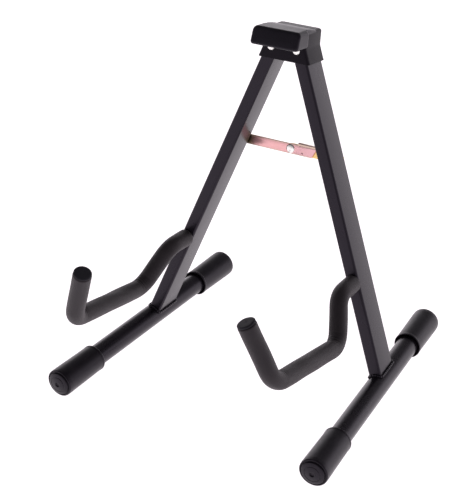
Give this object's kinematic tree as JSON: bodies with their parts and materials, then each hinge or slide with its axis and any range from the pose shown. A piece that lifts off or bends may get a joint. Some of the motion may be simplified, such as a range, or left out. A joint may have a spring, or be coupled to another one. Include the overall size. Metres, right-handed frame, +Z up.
{
  "type": "folding guitar floor stand",
  "caption": "Folding A-frame floor stand: foam-sleeved arms and a rubber rest pad carry a guitar, legs on capped foot tubes fold on a link spreader.",
  "frame": {"origin": "on the floor, at the middle of the open stand's outline seen from above", "axes": "+Z up, -Y the side that the guitar goes in, +X the player's right facing the stand from the front"},
  "size_m": [0.3618, 0.3772, 0.4067],
  "materials": {
    "powder_coat": "black semi-gloss powder coat on steel tube, faint orange peel",
    "cap_rubber": "satin black moulded rubber",
    "pad_rubber": "black rubber, soft sheen on the edges",
    "foam": "matt charcoal closed-cell foam, fine pores",
    "head_plastic": "black moulded nylon, fine spark texture",
    "plug_plastic": "black moulded plug",
    "passivated_zinc": "iridescent yellow-passivated zinc plate on flat steel",
    "bright_steel": "bright zinc-plated fasteners"
  },
  "bodies": {
    "head": {"head_housing": "head_plastic", "rest_pad": "pad_rubber", "left_pivot_bolt": "bright_steel", "left_pivot_washer": "bright_steel", "left_pivot_nut": "bright_steel", "left_pad_screw": "bright_steel", "right_pivot_bolt": "bright_steel", "right_pivot_washer": "bright_steel", "right_pivot_nut": "bright_steel", "right_pad_screw": "bright_steel"},
    "left_leg": {"left_leg_tube": "powder_coat", "left_weld_bead": "powder_coat", "left_pivot_bushing": "bright_steel", "left_foot_tube": "powder_coat", "left_front_cap": "cap_rubber", "left_rear_cap": "cap_rubber", "left_support_arm": "powder_coat", "left_foam_sleeve": "foam", "left_arm_plug": "plug_plastic", "left_link_rivet": "bright_steel"},
    "right_leg": {"right_leg_tube": "powder_coat", "right_weld_bead": "powder_coat", "right_pivot_bushing": "bright_steel", "right_foot_tube": "powder_coat", "right_front_cap": "cap_rubber", "right_rear_cap": "cap_rubber", "right_support_arm": "powder_coat", "right_foam_sleeve": "foam", "right_arm_plug": "plug_plastic"},
    "left_link": {"left_link": "passivated_zinc", "center_rivet": "bright_steel"},
    "right_link": {"right_link": "passivated_zinc", "right_link_rivet": "bright_steel", "right_link_spacer": "bright_steel"}
  },
  "joints": [
    {"name": "left_leg_fold", "type": "hinge", "parent": "head", "child": "left_leg", "pos_m": [-0.0157, 0.09644, 0.37642], "axis": [0, -0.9893, 0.1461], "range_deg": [0, 20.4]},
    {"name": "right_leg_fold", "type": "hinge", "parent": "head", "child": "right_leg", "pos_m": [0.0157, 0.09644, 0.37642], "axis": [0, -0.9893, 0.1461], "range_deg": [-20.4, 0]},
    {"name": "left_link_fold", "type": "hinge", "parent": "left_leg", "child": "left_link", "pos_m": [-0.06245, 0.07841, 0.25434], "axis": [0, -0.9893, 0.1461], "range_deg": [0, 54.32]},
    {"name": "right_link_fold", "type": "hinge", "parent": "left_link", "child": "right_link", "pos_m": [0, 0.07841, 0.25434], "axis": [0, -0.9893, 0.1461], "range_deg": [-149.4, 0]}
  ],
  "couplings": [
    {"joint": "right_leg_fold", "follows": "left_leg_fold", "ratio": -1},
    {"joint": "left_link_fold", "follows": "left_leg_fold", "ratio": 2.6605},
    {"joint": "right_link_fold", "follows": "left_leg_fold", "ratio": -7.321}
  ]
}
